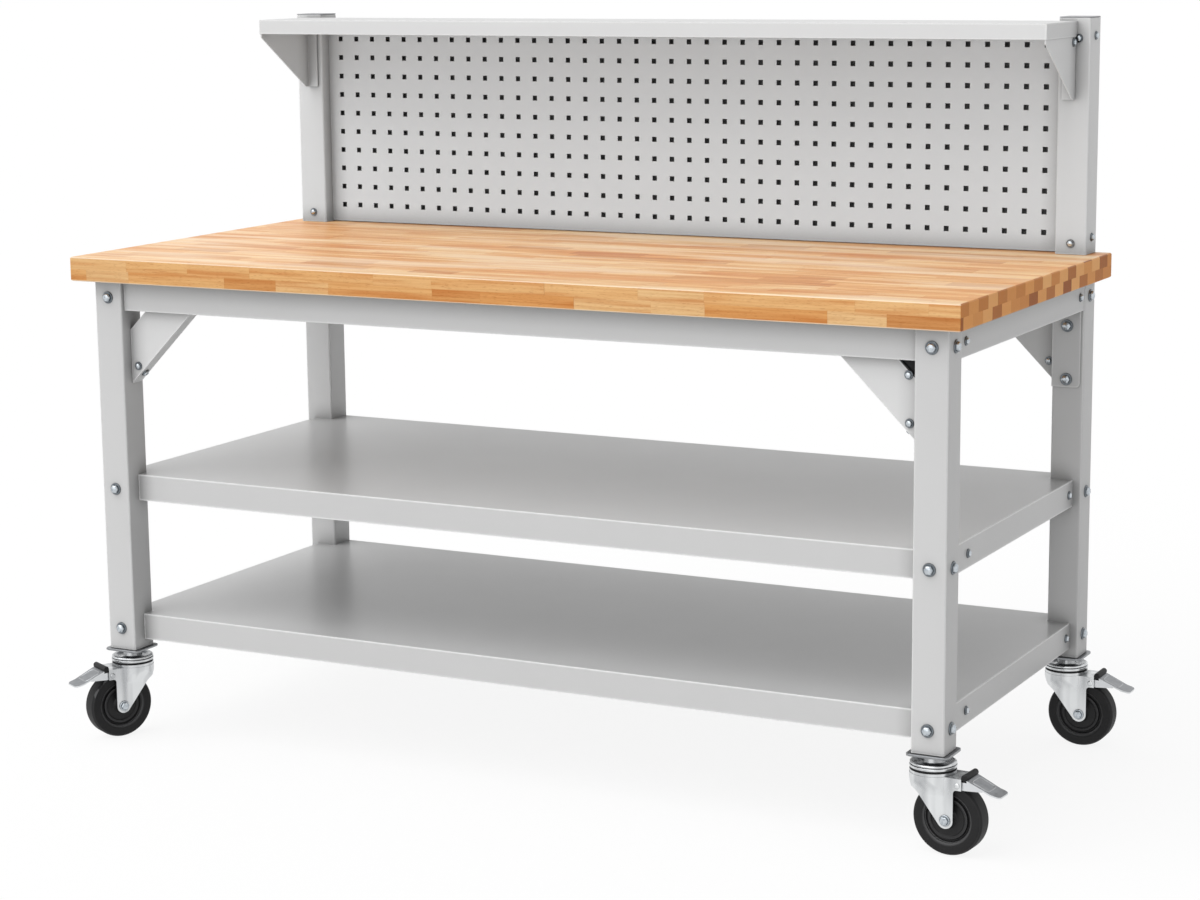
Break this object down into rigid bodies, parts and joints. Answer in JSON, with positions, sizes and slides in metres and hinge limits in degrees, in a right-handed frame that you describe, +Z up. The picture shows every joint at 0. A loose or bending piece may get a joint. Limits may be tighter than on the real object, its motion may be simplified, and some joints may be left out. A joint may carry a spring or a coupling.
{
  "type": "assembly table",
  "caption": "Mobile workshop assembly table with a laminated wood worktop, steel tray shelves, perforated back panel with a top shelf, and braked swivel castors.",
  "frame": {"origin": "on the floor, under the middle of the whole table's outline, castors included", "axes": "+X to the right along the worktop, -Y to the front where a person stands, +Z up"},
  "size_m": [1.8974, 0.8678, 1.3573],
  "materials": {
    "beech": "oiled, laminated staves",
    "powder_coat": "light grey satin powder coat",
    "shelf_coat": "light grey satin powder coat",
    "zinc": "bright zinc plate",
    "tyre_rubber": "black rubber",
    "buffer_rubber": "black rubber",
    "black_plastic": "matte black"
  },
  "bodies": {
    "frame": {"front_apron": "powder_coat", "front_left_castor_head": "zinc", "front_left_castor_plate": "zinc", "front_left_gusset": "powder_coat", "front_left_leg": "powder_coat", "front_right_castor_head": "zinc", "front_right_castor_plate": "zinc", "front_right_gusset": "powder_coat", "front_right_leg": "powder_coat", "left_shelf_bracket": "powder_coat", "left_side_rail": "powder_coat", "left_upright": "powder_coat", "left_upright_cap": "black_plastic", "lower_shelf": "shelf_coat", "middle_shelf": "shelf_coat", "panel_back": "powder_coat", "perforated_panel": "powder_coat", "rear_apron": "powder_coat", "rear_left_castor_head": "zinc", "rear_left_castor_plate": "zinc", "rear_left_leg": "powder_coat", "rear_right_castor_head": "zinc", "rear_right_castor_plate": "zinc", "rear_right_gusset": "powder_coat", "rear_right_joint_plate": "powder_coat", "rear_right_leg": "powder_coat", "right_shelf_bracket": "powder_coat", "right_side_rail": "powder_coat", "right_upright": "powder_coat", "right_upright_cap": "black_plastic", "top_shelf": "powder_coat", "worktop": "beech"},
    "front_left_swivel": {"front_left_fork": "zinc", "front_left_axle": "zinc"},
    "front_left_roller": {"front_left_wheel": "black_plastic", "front_left_tyre": "tyre_rubber"},
    "front_left_pedal": {"front_left_brake_pedal": "zinc", "front_left_brake_buffer": "buffer_rubber"},
    "front_right_swivel": {"front_right_fork": "zinc", "front_right_axle": "zinc"},
    "front_right_roller": {"front_right_wheel": "black_plastic", "front_right_tyre": "tyre_rubber"},
    "front_right_pedal": {"front_right_brake_pedal": "zinc", "front_right_brake_buffer": "buffer_rubber"},
    "rear_left_swivel": {"rear_left_fork": "zinc", "rear_left_axle": "zinc"},
    "rear_left_roller": {"rear_left_wheel": "black_plastic", "rear_left_tyre": "tyre_rubber"},
    "rear_left_pedal": {"rear_left_brake_pedal": "zinc", "rear_left_brake_buffer": "buffer_rubber"},
    "rear_right_swivel": {"rear_right_fork": "zinc", "rear_right_axle": "zinc"},
    "rear_right_roller": {"rear_right_wheel": "black_plastic", "rear_right_tyre": "tyre_rubber"},
    "rear_right_pedal": {"rear_right_brake_pedal": "zinc", "rear_right_brake_buffer": "buffer_rubber"}
  },
  "joints": [
    {"name": "front_left_turn", "type": "hinge", "parent": "frame", "child": "front_left_swivel", "pos_m": [-0.82, -0.314, 0.14], "axis": [0, 0, 1], "continuous": true},
    {"name": "front_left_roll", "type": "hinge", "parent": "front_left_swivel", "child": "front_left_roller", "pos_m": [-0.83549, -0.34314, 0.0625], "axis": [0.8829, -0.4695, 0], "continuous": true},
    {"name": "front_left_brake", "type": "hinge", "parent": "front_left_swivel", "child": "front_left_pedal", "pos_m": [-0.84535, -0.36168, 0.125], "axis": [0.8829, -0.4695, 0], "range_deg": [0, 14]},
    {"name": "front_right_turn", "type": "hinge", "parent": "frame", "child": "front_right_swivel", "pos_m": [0.82, -0.314, 0.14], "axis": [0, 0, 1], "continuous": true},
    {"name": "front_right_roll", "type": "hinge", "parent": "front_right_swivel", "child": "front_right_roller", "pos_m": [0.85292, -0.3163, 0.0625], "axis": [0.0698, 0.9976, 0], "continuous": true},
    {"name": "front_right_brake", "type": "hinge", "parent": "front_right_swivel", "child": "front_right_pedal", "pos_m": [0.87387, -0.31777, 0.125], "axis": [0.0698, 0.9976, 0], "range_deg": [0, 14]},
    {"name": "rear_left_turn", "type": "hinge", "parent": "frame", "child": "rear_left_swivel", "pos_m": [-0.82, 0.394, 0.14], "axis": [0, 0, 1], "continuous": true},
    {"name": "rear_left_roll", "type": "hinge", "parent": "rear_left_swivel", "child": "rear_left_roller", "pos_m": [-0.85292, 0.3963, 0.0625], "axis": [-0.0698, -0.9976, 0], "continuous": true},
    {"name": "rear_left_brake", "type": "hinge", "parent": "rear_left_swivel", "child": "rear_left_pedal", "pos_m": [-0.87387, 0.39777, 0.125], "axis": [-0.0698, -0.9976, 0], "range_deg": [0, 14]},
    {"name": "rear_right_turn", "type": "hinge", "parent": "frame", "child": "rear_right_swivel", "pos_m": [0.82, 0.394, 0.14], "axis": [0, 0, 1], "continuous": true},
    {"name": "rear_right_roll", "type": "hinge", "parent": "rear_right_swivel", "child": "rear_right_roller", "pos_m": [0.853, 0.394, 0.0625], "axis": [0, 1, 0], "continuous": true},
    {"name": "rear_right_brake", "type": "hinge", "parent": "rear_right_swivel", "child": "rear_right_pedal", "pos_m": [0.874, 0.394, 0.125], "axis": [0, 1, 0], "range_deg": [0, 14]}
  ]
}
